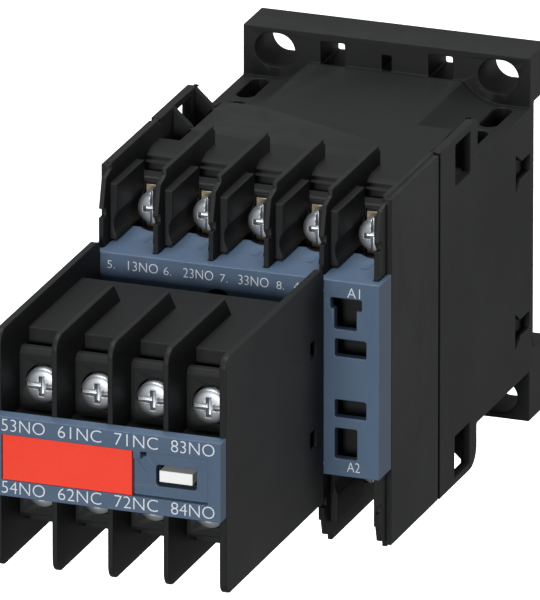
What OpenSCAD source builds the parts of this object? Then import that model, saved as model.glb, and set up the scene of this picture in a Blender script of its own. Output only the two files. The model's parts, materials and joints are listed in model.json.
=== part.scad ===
// Contactor relay for a 35 mm rail, with a four-pole auxiliary contact block clipped to its front.
// Millimetres. X runs along the rail, +Z is up, and the front faces -Y.
// Depth is measured forward from the back mounting plane, so a depth d lies at Y = -d.
// The relay is symmetric about X = 0 and Z = 0; the auxiliary block is off centre in both.

/* [Relay envelope] */
// Width along the rail
relay_width = 45; // [42:0.5:60]
// Height over the mounting flanges
relay_height = 57; // [54:0.5:72]
// Depth of the joint between the base and the contact housing
seam_depth = 47.3; // [46:0.1:56]
// Depth of the front edge of the contact housing
housing_depth = 68.3; // [67.5:0.1:80]
// Thickness of the front cover
cover_thickness = 5.3; // [4:0.1:8]
// Depth at which the slim rear half of the base ends
rear_depth = 31; // [30:0.5:40]

/* [Back mounting] */
// Thickness of the mounting flanges
flange_depth = 8; // [7:0.5:10]
// End-to-end length of a mounting slot
slot_length = 6.2; // [5.5:0.1:8]
// Width of a mounting slot
slot_width = 5.2; // [4.2:0.1:5.4]
// Width of the mounting rail the recess takes
rail_width = 35; // [30:0.5:42]
// Depth of the rail recess
rail_pocket = 6.2; // [5.5:0.1:7]
// Travel of the sprung rail latch
latch_travel = 3; // [2:0.1:4]

/* [Drive] */
// Travel of the armature and the contact carriers
contact_travel = 3.5; // [2.5:0.1:4.5]
// Air left between the pole faces when the armature is pulled in
residual_gap = 0.3; // [0.2:0.05:0.6]
// Thickness of the magnet cores
core_thickness = 13; // [10:0.5:15]
// Width of a pole of the magnet
pole_width = 4.5; // [3.5:0.1:5.5]

/* [Terminals] */
// Thread diameter of the relay terminal screws
main_thread = 3.5; // [3:0.1:4.2]
// Head diameter of the relay terminal screws
main_head = 5; // [4.5:0.1:6]
// Thread diameter of the auxiliary terminal screws
aux_thread = 3; // [2.5:0.1:3.6]
// Head diameter of the auxiliary terminal screws
aux_head = 5.3; // [4.8:0.1:6]
// Thickness of the metal strips and clamp washers
strip_thickness = 1; // [0.8:0.1:1.1]
// Air between a clamp washer and its strip as delivered
clamp_gap = 1; // [0.8:0.1:1.5]

/* [Auxiliary block] */
// Length of the auxiliary housing, from the cover to its front panel
aux_length = 41.2; // [40:0.1:50]
// Height of the auxiliary housing over its side walls
aux_height = 36.4; // [34:0.1:40]
// Thickness of the auxiliary front panel
panel_thickness = 2.4; // [2:0.1:4]

/* [Fits] */
// Air between pieces that slide past each other
slide_gap = 0.3; // [0.2:0.05:0.5]
// Radial air round a screw's shank
shank_gap = 0.2; // [0.12:0.02:0.3]

/* [Hidden] */
$fn = 48;
eps = 0.1;
hw = relay_width / 2;
top_z = relay_height / 2;

// columns
side_margin = 1.1;
pitch = (relay_width - 2 * side_margin) / 5;
divider = 0.8;
strip_top = main_head / 2 - 0.1;
function column_x(i) = (i - 2) * pitch;
divider_xs = [for (i = [0:3]) (i - 1.5) * pitch];
pole_columns = [0, 1, 2, 3];
coil_column = 4;

// height stations of the relay, from the middle
wall_z = top_z - 1.5;
roof_z = top_z - 4.7;
shelf_z = top_z - 7.8;
pocket_floor_z = shelf_z - 1.5;
cavity_z = shelf_z - 3;
screw_z = top_z - 10.5;
tower_z = screw_z - 4.2;
cover_top = tower_z + 1.5;
cover_bottom = -tower_z - 1.1;
hole_dx = hw - 5;
hole_dz = top_z - 3.5;

// inside widths of the base
wall = 1.45;
core_hw = hw - 4.5;
cavity_hw = hw - 2;
inner_hw = hw - 4.2;

// depth stations of the magnet, back to front
core_back = rail_pocket + 2;
yoke = 5;
coil_back = core_back + yoke;
armature_face = seam_depth - 3.3;
yoke_front = 4.8;
bobbin_end = armature_face - yoke_front - contact_travel - 0.7;
core_tip = bobbin_end - 6;
armature_tip = core_tip + contact_travel + residual_gap;
flange_t = 1.2;
spring_z = (core_thickness / 2 + cavity_z - 1.7) / 2 + 0.2;

// relay contacts, depth
strip_back = seam_depth + 1.5;
pad = 1;
tip = 0.8;
bridge_back = strip_back + strip_thickness + pad + contact_travel + slide_gap + tip;
bridge_t = 0.8;
spring_len = 5.3;
beam_front = bridge_back + bridge_t + spring_len + 2;
strip_hw = pitch * 0.29;
carrier_hw = column_x(coil_column) - strip_hw - 1.1;
bridge_hw = pitch * 0.23;
window_hw = bridge_hw + 0.25;
beam_hz = 3;
contact_z = 7.5;
chamber_z = tower_z - 3.2;
riser_z = tower_z - 2.8;
terminal_depth = seam_depth + 8.9;
block_front = terminal_depth + 1.2;
guide = 1.15;
guide_gap = 0.75;
guide_front = housing_depth + 0.4;
guide_top = wall_z - 2.9;

// auxiliary block
aux_back = housing_depth + cover_thickness;
aux_front = aux_back + aux_length;
panel_front = aux_front + panel_thickness;
aux_z = -1.1;
aux_wall = 1.1;
aux_x0 = -hw + 0.75;
aux_x1 = aux_x0 + 4 * pitch + 1.45;
function aux_column(i) = aux_x0 + 0.72 + (i + 0.5) * pitch;
aux_dividers = [for (i = [1:3]) aux_x0 + 0.72 + i * pitch];
aux_hz = aux_height / 2;
aux_roof = aux_hz - 3.35;
aux_screw = 8;
aux_roof_back = aux_back + 7.2;
aux_roof_front = aux_front - 11.6;
aux_strip = aux_roof_front - 1 - (strip_thickness - 1);
aux_chamber = [aux_back + 8.7, aux_strip - 1.2];
aux_chamber_z = 9.9;
aux_riser = 9.7;
no_strip = aux_chamber[0] + 2.3;
no_bridge = no_strip + strip_thickness + pad + contact_travel + slide_gap + tip;
nc_bridge = aux_chamber[1] - 6;
nc_strip = nc_bridge + bridge_t + tip + 0.1 + pad;
aux_beam = [no_bridge - 3.2, nc_bridge + 3.2];

// front panel
panel_z = [aux_z - 6.15, aux_z + 6.05];
channel_x = [aux_x0 + 2.05, aux_x1 - 2.05];
channel_z = [aux_z - 3.65, aux_z + 3.29];
channel_depth = 1.1;
plate_end = channel_x[0] + 20;
flag_x = [channel_x[1] - 7.7, channel_x[1] - 2.6];
flag_z = [aux_z - 1.3, aux_z + 0.45];

// actuator between the two carriers
act_x = -2.45;
act_hw = 1.45;
act_hz = 4;

// rail hooks
rail_top = rail_width / 2 + 1.4;
rail_bottom = -rail_width / 2 + 1.4;
pocket_top = rail_top + 2.3;
pocket_bottom = rail_bottom - 1.2;
hook = [rail_pocket - 3.3, rail_pocket - 1.3];
hook_bite = 1;
latch_hw = 6;
latch_spring = latch_travel + 3.6;
latch_seat = pocket_bottom - 0.6;
latch_post = [latch_seat - latch_spring - 1.3, latch_seat - latch_spring];

// ---------------------------------------------------------------- helpers
// a box between two X, two depths and two Z
module block(x, d, z)
    translate([x[0], -d[1], z[0]]) cube([x[1] - x[0], d[1] - d[0], z[1] - z[0]]);

// a round bar along the depth
module rod(x, z, r, d)
    translate([x, -d[0], z]) rotate([90, 0, 0]) cylinder(r = r, h = d[1] - d[0]);

// an outline in (x, z) given its thickness in depth
module front_shape(d)
    translate([0, -d[0], 0]) rotate([90, 0, 0]) linear_extrude(d[1] - d[0]) children();

// an outline in (depth, z) given its thickness in X
module side_shape(x)
    translate([x[1], 0, 0]) rotate([90, 0, -90]) linear_extrude(x[1] - x[0]) children();

// an outline in (x, depth) given its thickness in Z
module top_shape(z)
    translate([0, 0, z[0]]) mirror([0, 1, 0]) linear_extrude(z[1] - z[0]) children();

module both_ends() { children(); mirror([0, 0, 1]) children(); }
module both_sides() { children(); mirror([1, 0, 0]) children(); }

// a rectangle from a to b whose four corners have radius r
module soft_rect(a, b, r) {
    translate([a[0] + r, a[1]]) square([b[0] - a[0] - 2 * r, b[1] - a[1]]);
    translate([a[0], a[1] + r]) square([b[0] - a[0], b[1] - a[1] - 2 * r]);
    for (x = [a[0] + r, b[0] - r], z = [a[1] + r, b[1] - r]) translate([x, z]) circle(r);
}

// takes a rounded corner off an outline: p is the corner, s points into the material
module corner(p, s, r)
    translate(p) mirror([s[0] < 0 ? 1 : 0, 0]) mirror([0, s[1] < 0 ? 1 : 0])
        difference() {
            translate([-eps, -eps]) square(r + eps);
            translate([r, r]) circle(r);
        }

// a coil spring's envelope between two depths
module spring_sleeve(x, z, r, d)
    difference() {
        rod(x, z, r, d);
        rod(x, z, r - 0.7, [d[0] - eps, d[1] + eps]);
    }

// ---------------------------------------------------------------- base
// the solid outside of the base, before it is hollowed
module base_shell() {
    both_ends() block([-hw, hw], [0, flange_depth], [shelf_z - eps, top_z]);
    block([-hw, hw], [0, rear_depth + eps], [-shelf_z, shelf_z]);
    difference() {
        block([-inner_hw, inner_hw], [flange_depth - eps, seam_depth], [-roof_z, roof_z]);
        both_sides() both_ends()
            rod(hw - 4.3, top_z - 0.3, 7.5, [flange_depth - 2 * eps, rear_depth - 2.5]);
        // the ridge stops at the recess floor outside the recesses' centres
        both_sides() both_ends()
            block([hw - 4.3, hw], [flange_depth - 2 * eps, rear_depth - 2.5], [shelf_z, top_z]);
    }
    block([-hw, hw], [rear_depth, seam_depth], [-pocket_floor_z, pocket_floor_z]);
    both_sides() side_shape([hw - wall, hw]) difference() {
        translate([rear_depth, -wall_z]) square([seam_depth - rear_depth, 2 * wall_z]);
        corner([rear_depth, wall_z], [1, -1], 1.2);
        corner([rear_depth, -wall_z], [1, 1], 3);
    }
    // webs that tie the tall side walls to the ridge
    both_sides() both_ends() for (d = [rear_depth + 0.6, seam_depth - 6.4])
        front_shape([d, d + 0.8]) polygon([
            [inner_hw - eps, pocket_floor_z - eps], [hw - wall + eps, pocket_floor_z - eps],
            [hw - wall + eps, wall_z - eps], [inner_hw - eps, roof_z + 0.4]]);
}

module mounting_slots()
    both_sides() both_ends() front_shape([-eps, flange_depth + eps])
        soft_rect([hole_dx - slot_length / 2, hole_dz - slot_width / 2],
                  [hole_dx + slot_length / 2, hole_dz + slot_width / 2], slot_width / 2 - 0.01);

// what is cut out of the base
module base_hollows() {
    block([-cavity_hw, cavity_hw], [core_back, seam_depth + eps], [-cavity_z, cavity_z]);
    // rail recess, open to both sides
    block([-hw - eps, hw + eps], [-eps, rail_pocket], [pocket_bottom, pocket_top]);
    mounting_slots();
    // windows in the flanges
    both_sides() both_ends()
        block([6.6, 10.3], [-eps, flange_depth + eps], [roof_z - 0.3, top_z - 1.3]);
    block([-0.73, 0.73], [-eps, flange_depth + eps], [roof_z, top_z - 2.3]);
    // cooling slots in the recess floors
    both_sides() both_ends() for (d = [flange_depth + 1, flange_depth + 11.5])
        top_shape([cavity_z - eps, shelf_z + eps])
            soft_rect([hw - 4.9, d], [hw - 2.1, d + 8.7], 1.39);
    // tool windows in the tall side walls
    both_sides() both_ends()
        block([hw - wall - eps, hw + eps], [rear_depth + 3.3, seam_depth - 6.6],
              [pocket_floor_z + 0.3, wall_z - 1.1]);
    // fan-shaped catches beside the rail recess
    both_sides() both_ends() side_shape([hw - 1.3, hw + eps]) polygon([
        [flange_depth, 11.1], [flange_depth, 13.6], [11.4, 13.6], [14.1, 15.3], [14.1, 9.5], [12, 11.1]]);
    // channel of the rail latch
    block([-latch_hw - slide_gap, latch_hw + slide_gap],
          [hook[0] - slide_gap, hook[1] + slide_gap], [-top_z - eps, pocket_bottom + eps]);
}

module base_housing() color([0.2, 0.21, 0.21]) {
    difference() {
        base_shell();
        base_hollows();
    }
    // fixed hook over the upper edge of the rail
    block([-latch_hw, latch_hw], hook, [rail_top - hook_bite, pocket_top + eps]);
    // post that the latch spring pushes against
    block([-1.6, 1.6], [hook[0] - slide_gap - eps, hook[1] + slide_gap + eps],
          latch_post);
    // ribs that locate the fixed core
    both_ends() block([-core_hw, core_hw], [core_back - eps, core_back + 3.5],
                      [core_thickness / 2 + 0.05, core_thickness / 2 + 1.4]);
}

// ---------------------------------------------------------------- rail latch
module rail_latch() color([0.16, 0.16, 0.17]) difference() {
    side_shape([-latch_hw, latch_hw]) polygon([
        [hook[0], -top_z + 0.6], [hook[1], -top_z + 0.6], [hook[1], rail_bottom + hook_bite - 1],
        [hook[1] - 0.7, rail_bottom + hook_bite], [hook[0], rail_bottom + hook_bite]]);
    block([-2.2, 2.2], [hook[0] - eps, hook[1] + eps], [latch_post[0] - slide_gap, latch_seat]);
    // slot for a screwdriver blade
    block([-3.2, 3.2], [hook[0] - eps, hook[1] + eps], [-top_z + 1.2, -top_z + 1.9]);
}

module rail_latch_spring() color([0.75, 0.76, 0.78])
    translate([0, -(hook[0] + hook[1]) / 2, latch_post[1]]) difference() {
        cylinder(r = 0.95, h = latch_spring);
        translate([0, 0, -eps]) cylinder(r = 0.55, h = latch_spring + 2 * eps);
    }

// ---------------------------------------------------------------- magnet
module core_outline(yoke_d, leg_d) {
    top_shape([-core_thickness / 2, core_thickness / 2]) {
        translate([-core_hw, yoke_d[0]]) square([2 * core_hw, yoke_d[1] - yoke_d[0]]);
        for (x = [-core_hw, -pole_width, core_hw - pole_width])
            translate([x, leg_d[0]])
                square([x == -pole_width ? 2 * pole_width : pole_width, leg_d[1] - leg_d[0]]);
    }
}

ring_d = [core_tip - 1.4, core_tip - 0.2];
ring_x = core_hw - pole_width / 2;

module fixed_core() color([0.5, 0.5, 0.52]) difference() {
    core_outline([core_back, core_back + yoke], [core_back + yoke - eps, core_tip]);
    // grooves for the shading rings
    both_sides() block([ring_x - 0.4, ring_x + 0.4], [ring_d[0], core_tip + eps],
                       [-core_thickness / 2 - eps, core_thickness / 2 + eps]);
}

module shading_rings() color([0.85, 0.5, 0.3]) both_sides() difference() {
    block([ring_x - 0.4, core_hw + 0.8], ring_d, [-core_thickness / 2 - 0.8, core_thickness / 2 + 0.8]);
    block([ring_x + 0.4, core_hw], [ring_d[0] - eps, ring_d[1] + eps],
          [-core_thickness / 2, core_thickness / 2]);
}

module armature() color([0.5, 0.5, 0.52])
    core_outline([armature_face - yoke_front, armature_face],
                 [armature_tip, armature_face - yoke_front + eps]);

bore_x = pole_width + slide_gap;
bore_z = core_thickness / 2 + slide_gap;
coil_x = core_hw - pole_width - 1.2;
coil_z = cavity_z - 2.4;

module coil_bobbin() color([0.2, 0.2, 0.22]) difference() {
    union() {
        for (d = [coil_back, bobbin_end - flange_t])
            block([-coil_x - 0.6, coil_x + 0.6], [d, d + flange_t], [-coil_z - 0.7, coil_z + 0.7]);
        block([-bore_x - 0.9, bore_x + 0.9], [coil_back, bobbin_end], [-bore_z - 0.9, bore_z + 0.9]);
        // ears that carry the tails of the coil terminals
        both_ends() block([coil_x, column_x(coil_column) + strip_hw], [bobbin_end - flange_t, bobbin_end],
                          [riser_z - 1, riser_z + strip_thickness + 1]);
    }
    block([-bore_x, bore_x], [coil_back - eps, bobbin_end + eps], [-bore_z, bore_z]);
}

module coil_winding() color([0.72, 0.42, 0.2]) difference() {
    front_shape([coil_back + flange_t, bobbin_end - flange_t])
        soft_rect([-coil_x, -coil_z], [coil_x, coil_z], 3);
    block([-bore_x - 0.9, bore_x + 0.9], [coil_back, bobbin_end], [-bore_z - 0.9, bore_z + 0.9]);
}

module return_springs() color([0.75, 0.76, 0.78])
    both_ends() spring_sleeve(0, spring_z, 2.4, [bobbin_end, armature_face]);

// ---------------------------------------------------------------- relay contacts
module contact_carrier() color([0.86, 0.84, 0.78]) difference() {
    x0 = column_x(0) - pitch * 0.36;
    x1 = column_x(3) + pitch * 0.36;
    union() {
        block([-carrier_hw, carrier_hw], [armature_face, armature_face + 2],
              [-spring_z - 2.6, spring_z + 2.6]);
        for (x = [divider_xs[0], divider_xs[2]])
            block([x - 1.2, x + 1.2], [armature_face, bridge_back - 2], [-beam_hz, beam_hz]);
        block([x0, x1], [bridge_back - 2.5, beam_front], [-beam_hz, beam_hz]);
        block([act_x - act_hw, act_x + act_hw], [beam_front - eps, aux_back - 0.6], [-act_hz, act_hz]);
    }
    for (i = pole_columns)
        block([column_x(i) - window_hw, column_x(i) + window_hw],
              [bridge_back, bridge_back + bridge_t + spring_len], [-beam_hz - eps, beam_hz + eps]);
    // socket for the tail of the auxiliary carrier
    block([act_x - 0.85, act_x + 0.85], [aux_back - 3.1, aux_back], [-2.5, 2.5]);
}

module bridge(x, z, d, side) {
    block([x - bridge_hw, x + bridge_hw], [d, d + bridge_t], [z - contact_z - 1.6, z + contact_z + 1.6]);
    for (s = [-1, 1])
        rod(x, z + s * contact_z, 1.35,
            side < 0 ? [d - tip, d + eps] : [d + bridge_t - eps, d + bridge_t + tip]);
}

module bridge_contacts() color([0.8, 0.55, 0.35])
    for (i = pole_columns) bridge(column_x(i), 0, bridge_back, -1);

module contact_springs() color([0.75, 0.76, 0.78])
    for (i = pole_columns)
        spring_sleeve(column_x(i), 0, 1.6, [bridge_back + bridge_t, bridge_back + bridge_t + spring_len]);

// one terminal strip: plate behind the screw head, riser going back, inner leg for the contact pad
module terminal_strip(x, plate_d, plate_z, riser, inner_d, screw_at, hole_r) difference() {
    t = strip_thickness;
    side_shape([x - strip_hw, x + strip_hw]) {
        translate([plate_d, plate_z[0]]) square([t, plate_z[1] - plate_z[0]]);
        translate([inner_d, riser]) square([plate_d + t - inner_d, t]);
        translate([inner_d, contact_z - 1.7]) square([t, riser + t - contact_z + 1.7]);
    }
    rod(x, screw_at, hole_r, [plate_d - eps, plate_d + t + eps]);
}

module fixed_contacts() color([0.8, 0.55, 0.35]) both_ends() for (i = pole_columns) {
    terminal_strip(column_x(i), terminal_depth, [riser_z, screw_z + strip_top], riser_z, strip_back, screw_z,
                   main_thread / 2 + shank_gap);
    rod(column_x(i), contact_z, 1.35, [strip_back + strip_thickness - eps, strip_back + strip_thickness + pad]);
}

module coil_terminals() color([0.8, 0.55, 0.35]) both_ends() difference() {
    x = column_x(coil_column);
    side_shape([x - strip_hw, x + strip_hw]) {
        translate([terminal_depth, riser_z]) square([strip_thickness, screw_z + strip_top - riser_z]);
        translate([bobbin_end, riser_z])
            square([terminal_depth + strip_thickness - bobbin_end, strip_thickness]);
    }
    rod(x, screw_z, main_thread / 2 + shank_gap, [terminal_depth - eps, terminal_depth + strip_thickness + eps]);
}

// ---------------------------------------------------------------- contact housing
// outline of a divider above the terminals, in (depth, z)
module divider_outline()
    polygon([
        [seam_depth, tower_z - 1], [seam_depth, wall_z + 0.2], [housing_depth - 0.3, wall_z + 0.2],
        [housing_depth - 0.3, wall_z - 0.8], [housing_depth + 2.1, wall_z - 1.5],
        [housing_depth + 3.3, wall_z - 6], [housing_depth + 2.1, wall_z - 6],
        [housing_depth + 2.1, wall_z - 7.3], [housing_depth + 3.3, wall_z - 7.3],
        [housing_depth + 3.3, tower_z], [housing_depth, tower_z - 1]]);

// outline of the stepped block behind the screws, in (depth, z)
module terminal_outline() {
    d = seam_depth;
    polygon([
        [d, 0], [d, roof_z + 0.2], [d + 4.3, roof_z + 0.2], [d + 6.1, roof_z - 0.4],
        [d + 6.1, roof_z - 1.1], [d + 6.7, roof_z - 1.2], [d + 6.7, roof_z - 3.1], [d + 7.6, roof_z - 3.1],
        [d + 7.6, roof_z - 2.1], [block_front - 0.4, roof_z - 2.3], [block_front, roof_z - 2.7],
        [block_front, 0]]);
}

// pads on both sides of a column, scooped out round the screw to guide a driver
module driver_guides(i) difference() {
    x = column_x(i);
    for (s = [-1, 1]) {
        face = x + s * (pitch - divider) / 2;
        block([min(face + s * eps, face - s * guide), max(face + s * eps, face - s * guide)],
              [block_front - eps, guide_front], [cover_top + 0.2, guide_top]);
    }
    rod(x, screw_z, main_head / 2 + guide_gap, [block_front - 2 * eps, guide_front + eps]);
}

module housing_shell() {
    side_shape([-hw + 1, hw - 1]) union() {
        terminal_outline();
        mirror([0, 1]) terminal_outline();
    }
    block([-hw + 1, hw - 1], [block_front - eps, housing_depth], [-tower_z, tower_z]);
    both_sides() block([hw - 1.4, hw], [seam_depth, housing_depth], [-wall_z + 0.2, wall_z - 0.2]);
    both_ends() {
        for (x = divider_xs) side_shape([x - divider / 2, x + divider / 2]) divider_outline();
        both_sides() side_shape([hw - 1.6, hw - 0.8]) divider_outline();
        for (i = [0:4]) driver_guides(i);
    }
}

module contact_housing() color([0.13, 0.13, 0.14]) difference() {
    housing_shell();
    // one chamber for each pole
    for (i = pole_columns)
        block([column_x(i) - pitch / 2 + 0.45, column_x(i) + pitch / 2 - 0.45],
              [strip_back - 0.1, housing_depth - 1.8], [-chamber_z, chamber_z]);
    // channel that the carrier slides in
    block([column_x(0) - pitch * 0.36 - slide_gap, column_x(3) + pitch * 0.36 + slide_gap],
          [seam_depth - eps, housing_depth - 1.8], [-beam_hz - slide_gap, beam_hz + slide_gap]);
    block([act_x - act_hw - slide_gap, act_x + act_hw + slide_gap],
          [beam_front - contact_travel - 1, housing_depth + eps], [-act_hz - slide_gap, act_hz + slide_gap]);
    both_ends() {
        for (i = pole_columns) {
            x = [column_x(i) - strip_hw - 0.05, column_x(i) + strip_hw + 0.05];
            block(x, [strip_back - 0.05, terminal_depth + strip_thickness + 0.05],
                  [chamber_z - eps, riser_z + strip_thickness + 0.05]);
        }
        block([column_x(coil_column) - strip_hw - 0.05, column_x(coil_column) + strip_hw + 0.05],
              [seam_depth - eps, terminal_depth + strip_thickness + 0.05],
              [riser_z - 0.05, riser_z + strip_thickness + 0.05]);
        for (i = [0:4]) {
            x = [column_x(i) - strip_hw - 0.05, column_x(i) + strip_hw + 0.05];
            block(x, [terminal_depth, block_front + eps], [tower_z - eps, screw_z + strip_top + 0.05]);
            block(x, [terminal_depth, terminal_depth + strip_thickness + 0.05], [riser_z - 0.05, tower_z]);
            rod(column_x(i), screw_z, main_thread / 2 + 0.35, [terminal_depth - 7, block_front]);
        }
    }
    // groove along the seam
    both_sides() block([hw - 0.4, hw + eps], [seam_depth - eps, seam_depth + 0.7], [-top_z, top_z]);
    both_ends() block([-hw - eps, hw + eps], [seam_depth - eps, seam_depth + 0.7], [wall_z - 0.6, top_z]);
}

// ---------------------------------------------------------------- front cover
lug_xs = [aux_column(0) - 1.5, aux_column(3) - 1.5];
lug_z = [5.6, 7.1];

module front_cover() color([0.34, 0.42, 0.51]) {
    xr = column_x(coil_column);
    inner = aux_back - 1.6;
    difference() {
        union() {
            block([-hw, hw], [housing_depth, aux_back], [cover_bottom, cover_top]);
            for (i = [0:4]) {
                x = [column_x(i) - pitch / 2 + divider / 2 + 0.05, column_x(i) + pitch / 2 - divider / 2 - 0.05];
                block([max(x[0], -hw + 1.65), min(x[1], hw - 1.65)], [housing_depth - 6.8, housing_depth + eps],
                      [tower_z, cover_top]);
                block([max(x[0], -hw + 1.65), min(x[1], hw - 1.65)], [housing_depth - 6.8, housing_depth + eps],
                      [cover_bottom, -tower_z]);
            }
        }
        block([-hw + 1.8, hw - 1.8], [housing_depth - eps, inner], [cover_bottom + 1.1, cover_top - 1.5]);
        // the dividers reach into the rear of the cover
        both_ends() for (x = concat(divider_xs, [-hw + 1.2, hw - 1.2]))
            block([x - divider / 2 - 0.05, x + divider / 2 + 0.05], [housing_depth - eps, housing_depth + 3.6],
                  [tower_z - 1.1, top_z]);
        // room for a screwdriver over each terminal screw
        both_ends() for (i = [0:4])
            rod(column_x(i), screw_z, main_head / 2 + 0.7, [housing_depth - 7, housing_depth - 0.6]);
        // opening over the actuator
        front_shape([inner - eps, aux_back + eps])
            soft_rect([act_x - 2.05, -11.6], [act_x + 2.05, 11.6], 2.04);
        // openings in the coil column for accessories
        front_shape([inner - eps, aux_back + eps]) {
            translate([xr - 2.2, tower_z - 2.9]) square([4.8, 1.7]);
            translate([xr - 1.6, tower_z - 6]) square([3.4, 4.8]);
            translate([xr - 1.5, 3.6]) square([4.8, 2.7]);
            translate([xr - 1.5, -5.8]) square([4.8, 2.7]);
            translate([xr - 1.5, -tower_z + 1.6]) square([3.4, 4.7]);
        }
        // slots for the catches of the auxiliary block
        both_ends() for (x = lug_xs)
            block([x - 0.1, x + 3.1], [inner - eps, aux_back + eps], [lug_z[0] - 0.1, lug_z[1] + 0.1]);
    }
}

// ---------------------------------------------------------------- auxiliary block
module aux_wall_outline() difference() {
    translate([aux_back, -aux_hz]) square([aux_length, 2 * aux_hz]);
    for (s = [-1, 1]) {
        corner([aux_front, s * aux_hz], [-1, -s], 1.8);
        corner([aux_back, s * aux_hz], [1, -s], 1.5);
    }
}

// the dividers start part-way along the roof with a sloping end
module aux_divider_outline() difference() {
    polygon([[aux_back + 14.4, 0], [aux_back + 14.4, aux_roof - 0.2], [aux_back + 17.4, aux_hz],
             [aux_front, aux_hz], [aux_front, 0]]);
    corner([aux_front, aux_hz], [-1, -1], 2.2);
}

holder = [aux_roof_front + 2, aux_roof_front + 4];

module aux_shell() {
    for (x = [aux_x0, aux_x1 - aux_wall]) side_shape([x, x + aux_wall]) aux_wall_outline();
    both_ends() for (x = aux_dividers) side_shape([x - 0.42, x + 0.42]) aux_divider_outline();
    block([aux_x0 + eps, aux_x1 - eps], [aux_roof_back, aux_roof_front], [-aux_roof, aux_roof]);
    // plug between the cover and the contact chambers
    block([aux_x0 + 3, aux_x1 - 3], [aux_back, aux_roof_back + eps], [-10, 10]);
    // tower behind the front panel
    block([aux_x0 + eps, aux_x1 - eps], [aux_roof_front - eps, aux_front], [-3.95, 3.85]);
    // plates that the screw heads turn in
    both_ends() side_shape([aux_x0 + eps, aux_x1 - eps]) polygon([
        [holder[0], 3.8], [holder[1], 3.8], [holder[1], aux_roof - 2.5],
        [holder[1] - 0.7, aux_roof - 1.8], [holder[0], aux_roof - 1.8]]);
    // catches into the front cover
    translate([0, 0, -aux_z]) both_ends() for (x = lug_xs)
        block([x, x + 3], [aux_back - 2.8, aux_back + eps], lug_z);
}

module aux_housing() color([0.16, 0.16, 0.17]) translate([0, 0, aux_z]) difference() {
    aux_shell();
    for (i = pole_columns) {
        x = aux_column(i);
        block([x - pitch / 2 + 0.42, x + pitch / 2 - 0.42], aux_chamber, [-aux_chamber_z, aux_chamber_z]);
        both_ends() {
            // bed of the terminal strip and the way for its riser
            block([x - pitch / 2 + 0.42, x + pitch / 2 - 0.42], [aux_strip, aux_roof_front + eps],
                  [4, aux_roof - 2.25]);
            block([x - strip_hw - 0.05, x + strip_hw + 0.05],
                  [is_nc(i) ? nc_strip - 0.05 : no_strip - 0.05, aux_roof_front],
                  [aux_riser - 0.05, aux_riser + strip_thickness + 0.05]);
            rod(x, aux_screw, aux_thread / 2 + 0.3, [aux_chamber[1] - eps, aux_strip + eps]);
            rod(x, aux_screw, aux_head / 2 + slide_gap, [holder[0] - eps, holder[1] + eps]);
        }
    }
    // channel of the carrier, with the way in for its tail
    block([aux_column(0) - pitch * 0.36 - slide_gap, aux_column(3) + pitch * 0.36 + slide_gap],
          aux_chamber, [-beam_hz - slide_gap, beam_hz + slide_gap]);
    block([act_x - 0.85, act_x + 0.85], [aux_back - eps, aux_chamber[0] + eps], [-2.5, 2.5]);
    // channel of the position indicator
    block([flag_x[0] - slide_gap, flag_x[1] + slide_gap], [aux_chamber[1] - eps, aux_front + eps],
          [flag_z[0] - aux_z - slide_gap, flag_z[1] - aux_z + slide_gap]);
    // catch windows in the side walls
    both_ends() block([aux_x0 - eps, aux_x1 + eps], [aux_back + 3.1, aux_back + 5.7], [5.6, 8.3]);
}

function is_nc(i) = i == 1 || i == 2;

module aux_front_panel() color([0.34, 0.42, 0.51]) {
    plain_panel();
    // tab that keeps the marking plate in its channel
    block([plate_end + 0.15, plate_end + 1.3], [panel_front - channel_depth - eps, panel_front],
          [channel_z[1] - 1.2, channel_z[1] + eps]);
}

module plain_panel() difference() {
    block([aux_x0, aux_x1], [aux_front, panel_front], panel_z);
    block(channel_x, [panel_front - channel_depth, panel_front + eps], channel_z);
    block([plate_end + 1.3, plate_end + 1.8], [aux_front - eps, panel_front + eps],
          [channel_z[1] - 1, channel_z[1]]);
    front_shape([aux_front - eps, panel_front])
        soft_rect([flag_x[0] - 0.55, flag_z[0] - 0.75], [flag_x[1] + 0.55, flag_z[1] + 0.75], 0.5);
}

module marking_plate() color([0.94, 0.3, 0.23])
    block([channel_x[0] + 0.1, plate_end], [panel_front - channel_depth, panel_front - 0.1],
          [channel_z[0] + 0.03, channel_z[1] - 0.01]);

module position_indicator() color([0.93, 0.93, 0.93])
    block(flag_x, [aux_beam[1], panel_front - 0.9], flag_z);

module aux_carrier() color([0.86, 0.84, 0.78]) translate([0, 0, aux_z]) difference() {
    union() {
        block([aux_column(0) - pitch * 0.36, aux_column(3) + pitch * 0.36], aux_beam, [-beam_hz, beam_hz]);
        // tail that plugs into the actuator of the relay
        block([act_x - 0.55, act_x + 0.55], [aux_back - 2.8, aux_beam[0] + eps], [-1, 1]);
    }
    for (i = pole_columns)
        block([aux_column(i) - window_hw, aux_column(i) + window_hw],
              is_nc(i) ? [nc_bridge - spring_len, nc_bridge + bridge_t]
                       : [no_bridge, no_bridge + bridge_t + spring_len],
              [-beam_hz - eps, beam_hz + eps]);
}

module aux_bridge_contacts() color([0.8, 0.55, 0.35])
    for (i = pole_columns)
        bridge(aux_column(i), aux_z, is_nc(i) ? nc_bridge : no_bridge, is_nc(i) ? 1 : -1);

module aux_contact_springs() color([0.75, 0.76, 0.78])
    for (i = pole_columns)
        spring_sleeve(aux_column(i), aux_z, 1.6,
                      is_nc(i) ? [nc_bridge - spring_len, nc_bridge]
                               : [no_bridge + bridge_t, no_bridge + bridge_t + spring_len]);

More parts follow.
